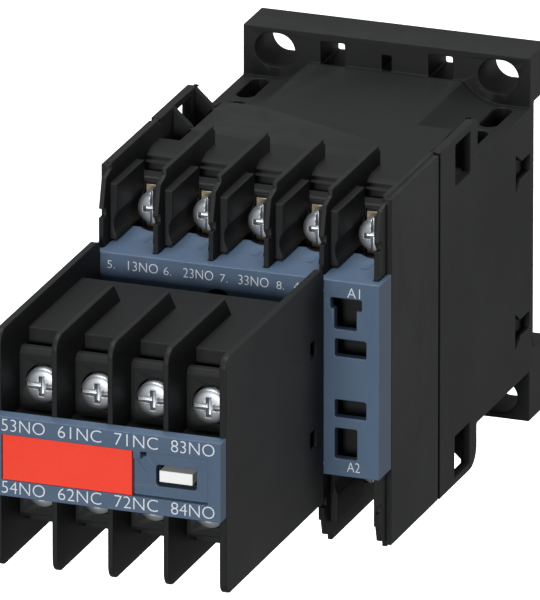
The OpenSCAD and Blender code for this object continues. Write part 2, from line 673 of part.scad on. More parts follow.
module aux_fixed_contacts() color([0.8, 0.55, 0.35]) translate([0, 0, aux_z]) both_ends()
    for (i = pole_columns) {
        d = is_nc(i) ? nc_strip : no_strip;
        terminal_strip(aux_column(i), aux_strip, [aux_screw - 2.8, aux_riser + 1.7], aux_riser, d,
                       aux_screw, aux_thread / 2 + shank_gap);
        rod(aux_column(i), contact_z, 1.35,
            is_nc(i) ? [d - pad, d + eps] : [d + strip_thickness - eps, d + strip_thickness + pad]);
    }

// ---------------------------------------------------------------- terminal screws and clamps
// a slotted cross-head screw; the slot stands up unless lying is true
module terminal_screw(x, z, thread, head, head_d, shank_end, lying) color([0.75, 0.76, 0.78])
    difference() {
        union() {
            rod(x, z, head / 2, [head_d[0], head_d[1] - 0.5]);
            translate([x, -head_d[1] + 0.5 + 0.01, z]) rotate([90, 0, 0])
                cylinder(r1 = head / 2, r2 = head / 2 - 0.45, h = 0.51);
            rod(x, z, thread / 2, [shank_end, head_d[0] + eps]);
        }
        translate([x, 0, z]) rotate([0, lying ? 90 : 0, 0]) {
            block([-0.4, 0.4], [head_d[1] - 1, head_d[1] + eps], [-head, head]);
            block([-1.5, 1.5], [head_d[1] - 1.3, head_d[1] + eps], [-0.4, 0.4]);
        }
    }

main_washer = terminal_depth + strip_thickness + clamp_gap;
main_head_d = [main_washer + strip_thickness + shank_gap, main_washer + strip_thickness + shank_gap + 1.9];
aux_washer = aux_strip + strip_thickness + clamp_gap;
aux_head_d = [aux_washer + strip_thickness + shank_gap, aux_front - 6.1];

module main_screw(i, side)
    terminal_screw(column_x(i), side * screw_z, main_thread, main_head, main_head_d, terminal_depth - 5.5, false);

module clamp_washer(x, z, head, thread, d) color([0.7, 0.71, 0.73]) difference() {
    rod(x, z, head / 2 - 0.05, [d, d + strip_thickness]);
    rod(x, z, thread / 2 + shank_gap, [d - eps, d + strip_thickness + eps]);
}

module main_clamp(i, side)
    clamp_washer(column_x(i), side * screw_z, main_head, main_thread, main_washer);

module aux_screw_at(i, side)
    terminal_screw(aux_column(i), aux_z + side * aux_screw, aux_thread, aux_head, aux_head_d, aux_strip - 2.6, true);

module aux_clamp(i, side)
    clamp_washer(aux_column(i), aux_z + side * aux_screw, aux_head, aux_thread, aux_washer);

base_housing();
contact_housing();
front_cover();
fixed_core();
shading_rings();
armature();
coil_bobbin();
coil_winding();
return_springs();
contact_carrier();
bridge_contacts();
contact_springs();
fixed_contacts();
coil_terminals();
rail_latch();
rail_latch_spring();
aux_housing();
aux_front_panel();
marking_plate();
position_indicator();
aux_carrier();
aux_bridge_contacts();
aux_contact_springs();
aux_fixed_contacts();
main_screw(0, 1);  // screw_13
main_screw(1, 1);  // screw_23
main_screw(2, 1);  // screw_33
main_screw(3, 1);  // screw_43
main_screw(4, 1);  // screw_a1
main_screw(0, -1);  // screw_14
main_screw(1, -1);  // screw_24
main_screw(2, -1);  // screw_34
main_screw(3, -1);  // screw_44
main_screw(4, -1);  // screw_a2
aux_screw_at(0, 1);  // screw_53
aux_screw_at(1, 1);  // screw_61
aux_screw_at(2, 1);  // screw_71
aux_screw_at(3, 1);  // screw_83
aux_screw_at(0, -1);  // screw_54
aux_screw_at(1, -1);  // screw_62
aux_screw_at(2, -1);  // screw_72
aux_screw_at(3, -1);  // screw_84
main_clamp(0, 1);  // clamp_13
main_clamp(1, 1);  // clamp_23
main_clamp(2, 1);  // clamp_33
main_clamp(3, 1);  // clamp_43
main_clamp(4, 1);  // clamp_a1
main_clamp(0, -1);  // clamp_14
main_clamp(1, -1);  // clamp_24
main_clamp(2, -1);  // clamp_34
main_clamp(3, -1);  // clamp_44
main_clamp(4, -1);  // clamp_a2
aux_clamp(0, 1);  // clamp_53
aux_clamp(1, 1);  // clamp_61
aux_clamp(2, 1);  // clamp_71
aux_clamp(3, 1);  // clamp_83
aux_clamp(0, -1);  // clamp_54
aux_clamp(1, -1);  // clamp_62
aux_clamp(2, -1);  // clamp_72
aux_clamp(3, -1);  // clamp_84
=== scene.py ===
"""The looks of a contactor relay with a clip-on auxiliary contact block.

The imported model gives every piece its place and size. This add-on finishes the mouldings, winds the
coil and the springs, stacks the cores, turns the terminal screws, prints the terminal marks and sets
up the studio. Lengths are in metres: X runs along the rail, Z is up and the front faces -Y.
"""

import json
import math

import bmesh
import bpy
from bpy.props import FloatProperty, FloatVectorProperty, IntProperty, PointerProperty
from mathutils import Matrix, Vector

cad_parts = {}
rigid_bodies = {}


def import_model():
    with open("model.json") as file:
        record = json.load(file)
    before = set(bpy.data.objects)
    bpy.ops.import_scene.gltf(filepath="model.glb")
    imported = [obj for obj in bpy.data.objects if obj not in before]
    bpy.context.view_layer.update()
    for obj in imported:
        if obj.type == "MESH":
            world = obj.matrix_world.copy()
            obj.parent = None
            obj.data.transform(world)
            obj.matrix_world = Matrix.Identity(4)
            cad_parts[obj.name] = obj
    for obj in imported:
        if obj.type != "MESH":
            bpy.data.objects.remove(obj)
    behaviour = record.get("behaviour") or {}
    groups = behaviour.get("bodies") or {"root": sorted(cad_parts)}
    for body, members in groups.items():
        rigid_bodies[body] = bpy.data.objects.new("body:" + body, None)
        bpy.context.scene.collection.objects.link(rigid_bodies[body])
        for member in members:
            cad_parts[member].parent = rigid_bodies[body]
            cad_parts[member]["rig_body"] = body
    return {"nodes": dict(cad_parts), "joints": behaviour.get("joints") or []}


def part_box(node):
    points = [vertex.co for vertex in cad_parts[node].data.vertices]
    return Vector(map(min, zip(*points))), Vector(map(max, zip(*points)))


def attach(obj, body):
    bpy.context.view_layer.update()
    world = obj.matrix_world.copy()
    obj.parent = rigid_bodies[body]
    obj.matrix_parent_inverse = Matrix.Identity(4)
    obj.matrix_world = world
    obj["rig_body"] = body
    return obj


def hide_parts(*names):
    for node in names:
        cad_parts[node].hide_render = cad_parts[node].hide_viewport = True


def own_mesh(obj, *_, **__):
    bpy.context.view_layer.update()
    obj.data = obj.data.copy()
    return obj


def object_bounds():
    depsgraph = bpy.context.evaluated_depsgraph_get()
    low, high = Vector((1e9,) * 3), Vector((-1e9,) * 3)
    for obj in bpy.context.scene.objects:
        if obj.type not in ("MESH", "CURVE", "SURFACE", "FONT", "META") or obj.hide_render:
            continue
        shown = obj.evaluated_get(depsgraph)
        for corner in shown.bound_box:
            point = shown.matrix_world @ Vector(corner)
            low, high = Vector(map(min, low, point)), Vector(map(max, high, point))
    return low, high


bl_info = {
    "name": "Contactor Relay Looks",
    "version": (1, 0, 0),
    "blender": (4, 5, 0),
    "location": "View3D > Sidebar > Contactor",
    "description": "Finishes, windings, springs, screws and marks of a contactor relay",
    "category": "Object",
}

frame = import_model()
CAD_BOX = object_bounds()

MM = 0.001
NODES = frame["nodes"]
OUTWARDS = Matrix.Rotation(math.radians(90), 4, "X")  # turns +Z to the front, -Y

MAIN_TERMINALS = ("13", "23", "33", "43", "a1", "14", "24", "34", "44", "a2")
AUX_TERMINALS = ("53", "61", "71", "83", "54", "62", "72", "84")

HEAD_CLEARANCE = 0.2 * MM  # air between a screw head and its clamp washer
WELD = 0.002 * MM  # points of a CAD mesh nearer than this are one
WIRE_SIDES = 8
THREAD_STEPS = 28  # segments in one turn of a screw thread
CREST_SHARE = 0.46  # half the width of a thread's ridge, as a share of its pitch
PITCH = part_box("screw_23")[0].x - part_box("screw_13")[0].x


def middle(node):
    """The middle of a CAD node's box."""
    low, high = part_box(node)
    return (low + high) / 2


def corners(points):
    """The lowest and the highest corner of the box round some points."""
    return [Vector(limit(p[k] for p in points) for k in range(3)) for limit in (min, max)]


def body_of(node):
    """The name of the body that a CAD node moves with."""
    return NODES[node]["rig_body"]


# ---- settings
def tint(name, description, colour):
    """A colour setting."""
    return FloatVectorProperty(
        name=name, description=description, subtype="COLOR", default=colour, min=0, max=1)


def span(name, description, default, least, most, precision=5):
    """A length setting, written in millimetres."""
    return FloatProperty(
        name=name, description=description, default=default * MM, min=least * MM, max=most * MM,
        unit="LENGTH", precision=precision)


class MouldingSettings(bpy.types.PropertyGroup):
    """Finish of the plastic mouldings."""

    edge_round: span("Edge round", "Width of the rounding on moulded edges", 0.2, 0, 0.4)
    grain: span("Grain", "Size of the spark-eroded grain on the mouldings", 0.28, 0.05, 1)
    black: tint("Black", "Colour of the housings", (0.0122, 0.0126, 0.0131))
    blue: tint("Blue grey", "Colour of the front cover and the front panel", (0.07, 0.11, 0.172))
    red: tint("Red", "Colour of the marking plate", (0.87, 0.05, 0.024))
    white: tint("White", "Colour of the position indicator", (0.9, 0.9, 0.89))
    ivory: tint("Ivory", "Colour of the contact carriers", (0.62, 0.56, 0.44))
    ink: tint("Ink", "Colour of the printed terminal marks", (0.66, 0.7, 0.76))


class MetalSettings(bpy.types.PropertyGroup):
    """Sizes and colours of the metal pieces."""

    zinc: tint("Zinc", "Colour of the plated screws and clamps", (0.38, 0.4, 0.42))
    brass: tint("Strips", "Colour of the plated brass contact strips", (0.6, 0.5, 0.36))
    silver: tint("Silver", "Colour of the contact tips", (0.86, 0.85, 0.82))
    copper: tint("Copper", "Colour of the shading rings", (0.8, 0.36, 0.2))
    enamel: tint("Enamel", "Colour of the enamelled winding wire", (0.48, 0.16, 0.05))
    core: tint("Core steel", "Colour of the core sheets", (0.34, 0.34, 0.36))
    main_thread: span("Main thread", "Thread diameter of the relay terminal screws", 3.5, 2, 5)
    aux_thread: span("Auxiliary thread", "Thread diameter of the auxiliary terminal screws", 3, 2, 5)
    slot_width: span("Slot width", "Width of the driver slot and of the cross recess", 0.8, 0.4, 1.2)
    spring_wire: span("Spring wire", "Wire diameter of the contact and return springs", 0.36, 0.1, 0.6)
    winding_wire: span("Winding wire", "Diameter of the enamelled wire, over the enamel", 0.42, 0.2, 1)
    sheet: span("Core sheet", "Thickness of one sheet of a laminated core", 0.5, 0.3, 1)
    screw_facets: IntProperty(
        name="Screw facets", description="Segments round a screw head", default=56, min=16, max=96)


class MarkSettings(bpy.types.PropertyGroup):
    """Printed terminal marks."""

    relay_cap: span("Relay marks", "Height of the letters on the front cover", 1.45, 0.8, 3)
    aux_cap: span("Auxiliary marks", "Height of the letters on the front panel", 1.85, 0.8, 3)
    ink_height: span(
        "Ink height", "How far the printed ink stands off the plastic", 0.02, 0.005, 0.1, precision=6)


def strength(name, description, default):
    """A light's power or the walls' brightness."""
    return FloatProperty(name=name, description=description, default=default, min=0)


class StudioSettings(bpy.types.PropertyGroup):
    """Camera, light and floor."""

    azimuth: FloatProperty(
        name="Azimuth", description="Turn of the camera to the right of the front",
        default=math.radians(20), subtype="ANGLE")
    elevation: FloatProperty(
        name="Elevation", description="Height of the camera above the horizon",
        default=math.radians(20), subtype="ANGLE")
    lens: FloatProperty(
        name="Lens", description="Focal length in millimetres; a long one keeps parallel edges parallel",
        default=1500, min=50, max=5000)
    view_height: span(
        "View height", "Height of the picture at the middle of the object", 87.55, 10, 500)
    aim: FloatVectorProperty(
        name="Aim", description="Offset of the picture's middle from the middle of the object",
        default=(0.155 * MM, 0, 5.22 * MM), subtype="TRANSLATION", precision=5)
    floor_drop: FloatProperty(
        name="Floor drop", description="How far the floor lies below the hanging object",
        default=90 * MM, min=0, max=500 * MM, unit="LENGTH")
    key_power: strength("Key light", "Power of the big overhead softbox", 8.5)
    side_power: strength("Side light", "Power of the softbox on the right", 1.1)
    front_power: strength("Front light", "Power of the light from the front", 10.5)
    room_light: strength("Room light", "Strength of the even light from the studio walls", 0.05)
    wall_gloss: strength("Wall gloss", "Brightness of the white walls in the gloss", 0.34)


SETTINGS = {
    "relay_mouldings": MouldingSettings, "relay_metals": MetalSettings,
    "relay_marks": MarkSettings, "relay_studio": StudioSettings,
}


# ---- node trees
def add(tree, kind, inputs=None, **settings):
    """Adds a node. Each input is a value, or another node's output to link."""
    made = tree.nodes.new(kind)
    for name, value in settings.items():
        setattr(made, name, value)
    for name, value in (inputs or {}).items():
        fill(tree, made.inputs[name], value)
    return made


def fill(tree, socket, value):
    """Links a socket, or sets its value."""
    if isinstance(value, bpy.types.NodeSocket):
        tree.links.new(value, socket)
    else:
        socket.default_value = value


def math_node(tree, operation, *values):
    """The result of a Math node."""
    return add(tree, "ShaderNodeMath", dict(enumerate(values)), operation=operation).outputs[0]


def mix_colours(tree, share, first, second):
    """A colour between two."""
    made = add(tree, "ShaderNodeMix", data_type="RGBA")
    sockets = {s.identifier: s for s in made.inputs}
    fill(tree, sockets["Factor_Float"], share)
    fill(tree, sockets["A_Color"], first)
    fill(tree, sockets["B_Color"], second)
    return next(s for s in made.outputs if s.identifier == "Result_Color")


def new_group(name, kind, inputs, outputs):
    """A node group with named sockets, and its input and output nodes."""
    tree = bpy.data.node_groups.new(name, kind)
    for label, form, value in inputs:
        socket = tree.interface.new_socket(label, in_out="INPUT", socket_type="NodeSocket" + form)
        if value is not None:
            socket.default_value = value
    for label, form in outputs:
        tree.interface.new_socket(label, in_out="OUTPUT", socket_type="NodeSocket" + form)
    return tree, tree.nodes.new("NodeGroupInput").outputs, tree.nodes.new("NodeGroupOutput").inputs


def rgba(colour):
    """A colour property with its alpha."""
    return (*colour, 1)


def noise(tree, coordinates, scale, detail=2.0):
    """The value of a noise texture."""
    inputs = {"Vector": coordinates, "Scale": scale, "Detail": detail}
    return add(tree, "ShaderNodeTexNoise", inputs).outputs[0]


def shared(build):
    """Makes a node group once, under the name of the function that builds it, and then finds it again."""
    def find():
        name = build.__name__.replace("_", " ")
        return bpy.data.node_groups.get(name) or build(name)
    return find


# ---- shared shader groups
@shared
def moulded_skin(name):
    """Fine grain, slow colour drift and uneven gloss of an injection moulding."""
    tree, given, out = new_group(
        name, "ShaderNodeTree",
        [("Colour", "Color", (0.5, 0.5, 0.5, 1)), ("Grain size", "Float", 0.3 * MM),
         ("Grain depth", "Float", 0.01 * MM), ("Roughness", "Float", 0.5), ("Drift", "Float", 0.1)],
        [("Colour", "Color"), ("Roughness", "Float"), ("Normal", "Vector")])
    place = add(tree, "ShaderNodeTexCoord").outputs["Object"]
    grain = noise(tree, place, math_node(tree, "DIVIDE", 1.0, given["Grain size"]), 3.0)
    slow = noise(tree, place, 55.0, 4.0)
    shift = math_node(tree, "MULTIPLY_ADD", slow, 2.0, -1.0)
    gain = math_node(tree, "MULTIPLY_ADD", shift, given["Drift"], 1.0)
    speck = math_node(tree, "MULTIPLY_ADD", grain, 0.16, 0.92)
    scaled = add(tree, "ShaderNodeVectorMath", {0: given["Colour"]}, operation="SCALE")
    fill(tree, scaled.inputs["Scale"], math_node(tree, "MULTIPLY", gain, speck))
    fill(tree, out["Colour"], scaled.outputs[0])
    gloss = math_node(tree, "MULTIPLY_ADD", shift, 0.12, given["Roughness"])
    fill(tree, out["Roughness"], math_node(tree, "MULTIPLY_ADD", grain, 0.08, gloss))
    bump = add(tree, "ShaderNodeBump", {"Height": grain, "Distance": given["Grain depth"]})
    fill(tree, out["Normal"], bump.outputs[0])
    return tree


@shared
def rubbed_edges(name):
    """Lightens the convex edges in patches: a painted highlight along the rounded edges, partly rubbed
    wear.
    """
    tree, given, out = new_group(
        name, "ShaderNodeTree",
        [("Colour", "Color", (0.5, 0.5, 0.5, 1)), ("Rubbed colour", "Color", (0.7, 0.7, 0.7, 1)),
         ("Amount", "Float", 0.5)],
        [("Colour", "Color")])
    # Pointiness finds the convex edges, where the painted highlight goes
    convex = add(tree, "ShaderNodeNewGeometry").outputs["Pointiness"]
    edge = add(tree, "ShaderNodeMapRange", {"Value": convex, "From Min": 0.52, "From Max": 0.62})
    place = add(tree, "ShaderNodeTexCoord").outputs["Object"]
    broken = add(tree, "ShaderNodeMapRange",
                 {"Value": noise(tree, place, 260.0, 3.0), "From Min": 0.35, "From Max": 0.65})
    patchy = math_node(tree, "MULTIPLY_ADD", broken.outputs[0], 0.6, 0.4)
    share = math_node(tree, "MULTIPLY", edge.outputs[0], patchy)
    share = math_node(tree, "MULTIPLY", share, given["Amount"])
    fill(tree, out["Colour"], mix_colours(tree, share, given["Colour"], given["Rubbed colour"]))
    return tree


@shared
def drawn_metal(name):
    """Fine drawing lines, cloudy plating and dull specks."""
    tree, given, out = new_group(
        name, "ShaderNodeTree",
        [("Colour", "Color", (0.6, 0.6, 0.6, 1)), ("Stain colour", "Color", (0.4, 0.38, 0.35, 1)),
         ("Roughness", "Float", 0.3), ("Line depth", "Float", 0.004 * MM)],
        [("Colour", "Color"), ("Roughness", "Float"), ("Normal", "Vector")])
    place = add(tree, "ShaderNodeTexCoord").outputs["Object"]
    drawn = add(tree, "ShaderNodeMapping", {"Vector": place, "Scale": (9000.0, 700.0, 700.0)}).outputs[0]
    lines = noise(tree, drawn, 1.0)
    clouds = noise(tree, place, 420.0, 4.0)
    stain = add(tree, "ShaderNodeMapRange", {
        "Value": clouds, "From Min": 0.55, "From Max": 0.8, "To Max": 0.35})
    fill(tree, out["Colour"], mix_colours(tree, stain.outputs[0], given["Colour"], given["Stain colour"]))
    rough = math_node(tree, "MULTIPLY_ADD", clouds, 0.16, given["Roughness"])
    fill(tree, out["Roughness"], math_node(tree, "MULTIPLY_ADD", lines, 0.08, rough))
    bump = add(tree, "ShaderNodeBump", {"Height": lines, "Distance": given["Line depth"]})
    fill(tree, out["Normal"], bump.outputs[0])
    return tree


@shared
def band(name):
    """1 where a value lies between two others, and 0 elsewhere."""
    tree, given, out = new_group(
        name, "ShaderNodeTree",
        [("Value", "Float", 0.0), ("Low", "Float", 0.0), ("High", "Float", 1.0)], [("Inside", "Float")])
    above = math_node(tree, "GREATER_THAN", given["Value"], given["Low"])
    below = math_node(tree, "LESS_THAN", given["Value"], given["High"])
    fill(tree, out["Inside"], math_node(tree, "MULTIPLY", above, below))
    return tree


# ---- materials
NO_TIPS = (1, 2)  # a range in metres, well outside the relay


def new_material(name, **shader):
    """A material with its Principled shader, ready for its links."""
    made = bpy.data.materials.new(name)
    made.use_nodes = True
    tree = made.node_tree
    surface = tree.nodes["Principled BSDF"]
    for socket, value in shader.items():
        surface.inputs[socket.replace("_", " ")].default_value = value
    return made, tree, surface


def finish_from(tree, surface, group, inputs):
    """Links a finish group's colour, roughness and normal to the shader."""
    made = add(tree, "ShaderNodeGroup", node_tree=group)
    for name, value in inputs.items():
        fill(tree, made.inputs[name], value)
    fill(tree, surface.inputs["Base Color"], made.outputs["Colour"])
    fill(tree, surface.inputs["Roughness"], made.outputs["Roughness"])
    fill(tree, surface.inputs["Normal"], made.outputs["Normal"])
    return made


def plastic(name, colour, roughness, grain_depth=0.012 * MM, drift=0.06, rubbed=0.25, gloss=0.5):
    """A moulded plastic, with a painted highlight on its convex edges."""
    if name in bpy.data.materials:
        return bpy.data.materials[name]
    made, tree, surface = new_material(name, Specular_IOR_Level=gloss)
    grain = bpy.context.scene.relay_mouldings.grain
    # the lighter colour is the painted highlight on the rounded edges
    light = tuple(min(1, c * 1.5 + 0.03) for c in colour)
    lit_and_worn_edges = add(tree, "ShaderNodeGroup", node_tree=rubbed_edges())
    lit_and_worn_edges.inputs["Colour"].default_value = rgba(colour)
    lit_and_worn_edges.inputs["Rubbed colour"].default_value = rgba(light)
    lit_and_worn_edges.inputs["Amount"].default_value = rubbed
    finish_from(tree, surface, moulded_skin(), {
        "Colour": lit_and_worn_edges.outputs[0], "Grain size": grain, "Grain depth": grain_depth,
        "Roughness": roughness, "Drift": drift})
    return made


def metal(name, colour, roughness, stain=(0.42, 0.4, 0.36), line_depth=0.004 * MM, coat=0.0):
    """A plain drawn or plated metal."""
    if name in bpy.data.materials:
        return bpy.data.materials[name]
    made, tree, surface = new_material(name, Metallic=1.0, Coat_Weight=coat)
    finish_from(tree, surface, drawn_metal(), {
        "Colour": rgba(colour), "Stain colour": rgba(stain), "Roughness": roughness,
        "Line depth": line_depth})
    return made


def turned_zinc():
    """Plated screw steel with turning rings that follow the stored turning radius."""
    name = "turned_zinc"
    if name in bpy.data.materials:
        return bpy.data.materials[name]
    made, tree, surface = new_material(name, Metallic=1.0)
    zinc = bpy.context.scene.relay_metals.zinc
    finish = finish_from(tree, surface, drawn_metal(), {
        "Colour": rgba(zinc), "Stain colour": (0.4, 0.4, 0.4, 1), "Roughness": 0.38,
        "Line depth": 0.001 * MM})
    radius = add(tree, "ShaderNodeAttribute", attribute_name="turning").outputs["Fac"]
    rings = math_node(tree, "SINE", math_node(tree, "MULTIPLY", radius, 2 * math.pi / (0.12 * MM)))
    bump = add(tree, "ShaderNodeBump", {
        "Height": rings, "Distance": 0.0016 * MM, "Normal": finish.outputs["Normal"]})
    fill(tree, surface.inputs["Normal"], bump.outputs[0])
    return made


def contact_metal(name, tip_depths=NO_TIPS, tip_reach=NO_TIPS):
    """Plated brass whose contact tips, between two depths and two heights, are silver."""
    settings = bpy.context.scene.relay_metals
    made, tree, surface = new_material(name, Metallic=1.0)
    place = add(tree, "ShaderNodeTexCoord").outputs["Object"]
    split = add(tree, "ShaderNodeSeparateXYZ", {"Vector": place}).outputs
    inside = []
    for way, (least, most) in ((split["Y"], tip_depths), (split["Z"], tip_reach)):
        inputs = {"Value": way, "Low": least, "High": most}
        inside.append(add(tree, "ShaderNodeGroup", inputs, node_tree=band()).outputs[0])
    is_tip = math_node(tree, "MULTIPLY", *inside)
    colour = mix_colours(tree, is_tip, rgba(settings.brass), rgba(settings.silver))
    finish_from(tree, surface, drawn_metal(), {
        "Colour": colour, "Stain colour": (0.45, 0.3, 0.18, 1), "Roughness": 0.26,
        "Line depth": 0.003 * MM})
    return made


# ---- meshes
def link(obj):
    """Puts an object in the scene."""
    bpy.context.scene.collection.objects.link(obj)
    return obj


def mesh_object(name, build):
    """An object whose mesh the build function fills."""
    mesh = bpy.data.meshes.new(name)
    work = bmesh.new()
    build(work)
    work.to_mesh(mesh)
    work.free()
    return link(bpy.data.objects.new(name, mesh))


def remove(*objects):
    """Deletes helper objects."""
    for obj in objects:
        bpy.data.objects.remove(obj, do_unlink=True)


def settled(obj, name, material=None, smooth=None):
    """Turns an object with its modifiers into a plain mesh piece and removes the helper."""
    depsgraph = bpy.context.evaluated_depsgraph_get()
    mesh = bpy.data.meshes.new_from_object(obj.evaluated_get(depsgraph), depsgraph=depsgraph)
    mesh.transform(obj.matrix_world)
    mesh.name = name
    remove(obj)
    piece = link(bpy.data.objects.new(name, mesh))
    if material is not None:
        mesh.materials.clear()
        mesh.materials.append(material)
    if smooth is not None:
        mesh.shade_smooth()
        mesh.set_sharp_from_angle(angle=math.radians(smooth))
    return piece


def joined(parts, name, material):
    """One mesh piece from several objects in place."""
    work = bmesh.new()
    for part in parts:
        mesh = part.data.copy()
        mesh.transform(part.matrix_world)
        work.from_mesh(mesh)
        bpy.data.meshes.remove(mesh)
    mesh = bpy.data.meshes.new(name)
    work.to_mesh(mesh)
    work.free()
    mesh.materials.append(material)
    remove(*parts)
    return link(bpy.data.objects.new(name, mesh))


def merged_copy(node, name):
    """A copy of a CAD node's mesh with its loose triangles joined up into flat faces."""
    def build(work):
        work.from_mesh(NODES[node].data)
        bmesh.ops.remove_doubles(work, verts=work.verts, dist=WELD)
        bmesh.ops.dissolve_limit(
            work, angle_limit=math.radians(1), verts=work.verts, edges=work.edges)
    return mesh_object(name, build)


def paint(node, material):
    """Gives a CAD node its material."""
    NODES[node].data.materials.clear()
    NODES[node].data.materials.append(material)


def round_edges(node, width, segments=2):
    """Rounds the sharp edges of a CAD node that stays in sight, without touching its mesh."""
    obj = NODES[node]
    weld = obj.modifiers.new("join faces", "WELD")
    weld.merge_threshold = WELD
    edge = obj.modifiers.new("edge round", "BEVEL")
    edge.width = width
    edge.segments = segments
    edge.limit_method = "ANGLE"
    edge.angle_limit = math.radians(35)
    edge.use_clamp_overlap = False
    edge.loop_slide = False
    edge.miter_outer = "MITER_ARC"
    edge.face_strength_mode = "FSTR_ALL"
    # creases that are left are split, so that the shading of a flat face stays flat
    crease = obj.modifiers.new("creases", "EDGE_SPLIT")
    crease.split_angle = math.radians(50)
    crease.use_edge_sharp = False
    shade = obj.modifiers.new("even shading", "WEIGHTED_NORMAL")
    shade.keep_sharp = True
    shade.use_face_influence = True
    for face in obj.data.polygons:
        face.use_smooth = True


def cuboid(work, low, high):
    """Adds a box between two corners."""
    made = bmesh.ops.create_cube(work, size=1)["verts"]
    size = Vector(high) - Vector(low)
    centre = (Vector(high) + Vector(low)) / 2
    bmesh.ops.scale(work, vec=size, verts=made)
    bmesh.ops.translate(work, vec=centre, verts=made)


def lathe(work, outline, segments):
    """Turns an outline of (radius, height) points round Z into a closed solid, and returns its points."""
    rings = []
    for radius, height in outline:
        if radius < 1e-9:
            rings.append([work.verts.new((0, 0, height))])
            continue
        turns = [2 * math.pi * k / segments for k in range(segments)]
        rings.append([work.verts.new((radius * math.cos(a), radius * math.sin(a), height)) for a in turns])
    for upper, lower in zip(rings, rings[1:]):
        for k in range(segments):
            after = (k + 1) % segments
            patch = [upper[k % len(upper)], lower[k % len(lower)],
                     lower[after % len(lower)], upper[after % len(upper)]]
            work.faces.new(list(dict.fromkeys(patch)))
    bmesh.ops.recalc_face_normals(work, faces=work.faces)
    return [vertex for points in rings for vertex in points]


# ---- geometry node trees
def ring(tree, resolution, radius):
    """A circle round Z."""
    inputs = {"Resolution": resolution, "Radius": radius}
    return add(tree, "GeometryNodeCurvePrimitiveCircle", inputs).outputs[0]


def sweep(tree, curve, section, caps=False):
    """A section carried along a curve."""
    inputs = {"Curve": curve, "Profile Curve": section, "Fill Caps": caps}
    return add(tree, "GeometryNodeCurveToMesh", inputs).outputs[0]


def upwards(tree, height):
    """A step along Z."""
    return add(tree, "ShaderNodeCombineXYZ", {"Z": height}).outputs[0]


def moved(tree, geometry, step):
    """Geometry moved by a step."""
    return add(tree, "GeometryNodeTransform", {"Geometry": geometry, "Translation": step}).outputs[0]


def deliver(tree, out, geometry, finish):
    """Makes the instances real, gives them their finish and sends them out."""
    real = add(tree, "GeometryNodeRealizeInstances", {"Geometry": geometry}).outputs[0]
    done = add(tree, "GeometryNodeSetMaterial", {"Geometry": real, "Material": finish})
    fill(tree, out[0], done.outputs[0])


def modifier_inputs(obj, tree, values):
    """Adds a Geometry Nodes modifier and sets its inputs by their sockets' identifiers."""
    modifier = obj.modifiers.new(tree.name, "NODES")
    modifier.node_group = tree
    for item in tree.interface.items_tree:
        if item.item_type == "SOCKET" and item.in_out == "INPUT" and item.name in values:
            modifier[item.identifier] = values[item.name]
    return modifier


@shared
def compression_springs(name):
    """A tree that winds one compression spring on every point of the mesh it is given."""
    tree, given, out = new_group(
        name, "GeometryNodeTree",
        [("Seats", "Geometry", None), ("Coil radius", "Float", MM), ("Wire radius", "Float", 0.2 * MM),
         ("Length", "Float", 5 * MM), ("Turns", "Float", 7.0), ("Turn", "Rotation", None),
         ("Steps", "Int", 24), ("Finish", "Material", None)],
        [("Springs", "Geometry")])
    active = math_node(tree, "MULTIPLY_ADD", given["Wire radius"], -4.0, given["Length"])
    coil = add(tree, "GeometryNodeCurveSpiral", {
        "Resolution": given["Steps"], "Rotations": given["Turns"], "Start Radius": given["Coil radius"],
        "End Radius": given["Coil radius"], "Height": active})
    start = math_node(tree, "MULTIPLY", given["Wire radius"], 2.0)
    coil = moved(tree, coil.outputs[0], upwards(tree, start))
    closed_turn = ring(tree, given["Steps"], given["Coil radius"])
    parts = add(tree, "GeometryNodeJoinGeometry")
    top = math_node(tree, "SUBTRACT", given["Length"], given["Wire radius"])
    for height in (given["Wire radius"], top):
        tree.links.new(moved(tree, closed_turn, upwards(tree, height)), parts.inputs[0])
    tree.links.new(coil, parts.inputs[0])
    wire = sweep(tree, parts.outputs[0], ring(tree, WIRE_SIDES, given["Wire radius"]), caps=True)
    put = add(tree, "GeometryNodeInstanceOnPoints", {
        "Points": given["Seats"], "Instance": wire, "Rotation": given["Turn"]})
    deliver(tree, out, put.outputs[0], given["Finish"])
    return tree


@shared
def coil_turns(name):
    """A tree that lays turns of round wire side by side along Z, each a rectangle with round corners."""
    tree, given, out = new_group(
        name, "GeometryNodeTree",
        [("Start", "Geometry", None), ("Width", "Float", 0.02), ("Height", "Float", 0.03),
         ("Corner", "Float", 3 * MM), ("Wire radius", "Float", 0.2 * MM), ("Turns", "Int", 40),
         ("Length", "Float", 0.02), ("Finish", "Material", None)],
        [("Winding", "Geometry")])
    oblong = add(tree, "GeometryNodeCurvePrimitiveQuadrilateral", {
        "Width": given["Width"], "Height": given["Height"]})
    soft = add(tree, "GeometryNodeFilletCurve", {
        "Curve": oblong.outputs[0], "Radius": given["Corner"], "Count": 6}, mode="POLY")
    turn = sweep(tree, soft.outputs[0], ring(tree, WIRE_SIDES, given["Wire radius"]))
    gaps = math_node(tree, "SUBTRACT", given["Turns"], 1.0)
    step = math_node(tree, "DIVIDE", given["Length"], gaps)
    row = add(tree, "GeometryNodeMeshLine", {"Count": given["Turns"], "Offset": upwards(tree, step)})
    put = add(tree, "GeometryNodeInstanceOnPoints", {"Points": row.outputs[0], "Instance": turn})
    deliver(tree, out, put.outputs[0], given["Finish"])
    return tree


@shared
def sheet_stack(name):
    """A tree that stacks copies of one core sheet along Z."""
    tree, given, out = new_group(
        name, "GeometryNodeTree",
        [("Sheet", "Geometry", None), ("Sheets", "Int", 26), ("Pitch", "Float", 0.5 * MM),
         ("Finish", "Material", None)],
        [("Stack", "Geometry")])
    pitch = upwards(tree, given["Pitch"])
    row = add(tree, "GeometryNodeMeshLine", {"Count": given["Sheets"], "Offset": pitch})
    put = add(tree, "GeometryNodeInstanceOnPoints", {"Points": row.outputs[0], "Instance": given["Sheet"]})
    deliver(tree, out, put.outputs[0], given["Finish"])
    return tree


